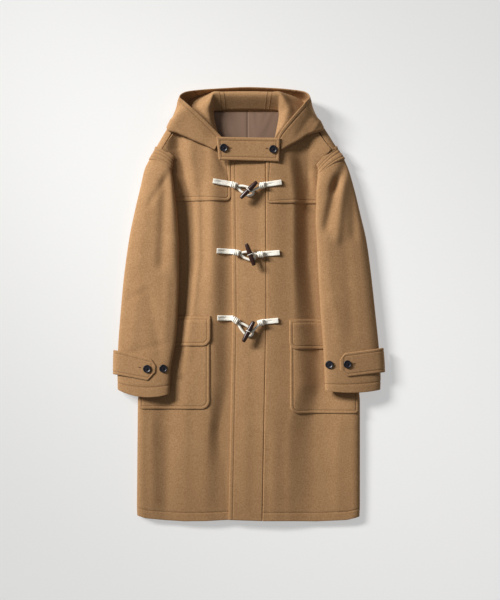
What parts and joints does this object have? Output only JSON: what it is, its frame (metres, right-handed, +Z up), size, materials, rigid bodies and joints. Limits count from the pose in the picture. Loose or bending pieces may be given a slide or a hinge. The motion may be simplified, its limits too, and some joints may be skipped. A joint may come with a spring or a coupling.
{
  "type": "duffle coat",
  "caption": "Camel wool duffle coat laid flat on its back, hood thrown back, with horn toggles on cord loops, flap pockets, cuff tabs and a buttoned throat strap.",
  "frame": {"origin": "centre of the coat's box at its underside, on the surface it lies on", "axes": "+Z up from the surface to the coat's front, +Y from the hem to the hood, +X to the coat's own left side"},
  "size_m": [0.7079, 1.1313, 0.0612],
  "materials": {
    "wool": "matt brushed wool melton, camel",
    "lining": "smooth twill lining, taupe",
    "cord": "matt twisted cotton cord, off-white",
    "horn": "polished dark horn",
    "button": "satin, nearly black"
  },
  "bodies": {
    "root": {"back_left": "wool", "back_right": "wool", "front_left": "wool", "front_right": "wool", "placket": "wool", "yoke_left": "wool", "yoke_right": "wool", "pocket_left": "wool", "pocket_right": "wool", "flap_left": "wool", "flap_right": "wool", "armhole_left": "wool", "armhole_right": "wool", "sleeve_left": "wool", "sleeve_right": "wool", "strap_left": "wool", "strap_right": "wool", "hood_left": "wool", "hood_centre": "wool", "hood_right": "wool", "throat_strap": "wool", "lining": "lining", "button_1": "button", "button_2": "button", "button_3": "button", "button_4": "button", "button_5": "button", "button_6": "button", "tape_left_1": "cord", "tape_right_1": "cord", "knot_left_1": "cord", "knot_right_1": "cord", "wrap_1": "cord", "loop_1": "cord", "lead_1": "cord", "tape_left_2": "cord", "tape_right_2": "cord", "knot_left_2": "cord", "knot_right_2": "cord", "wrap_2": "cord", "loop_2": "cord", "lead_2": "cord", "tape_left_3": "cord", "tape_right_3": "cord", "knot_left_3": "cord", "knot_right_3": "cord", "wrap_3": "cord", "loop_3": "cord", "lead_3": "cord", "toggle_1": "horn", "toggle_2": "horn", "toggle_3": "horn"}
  },
  "joints": []
}
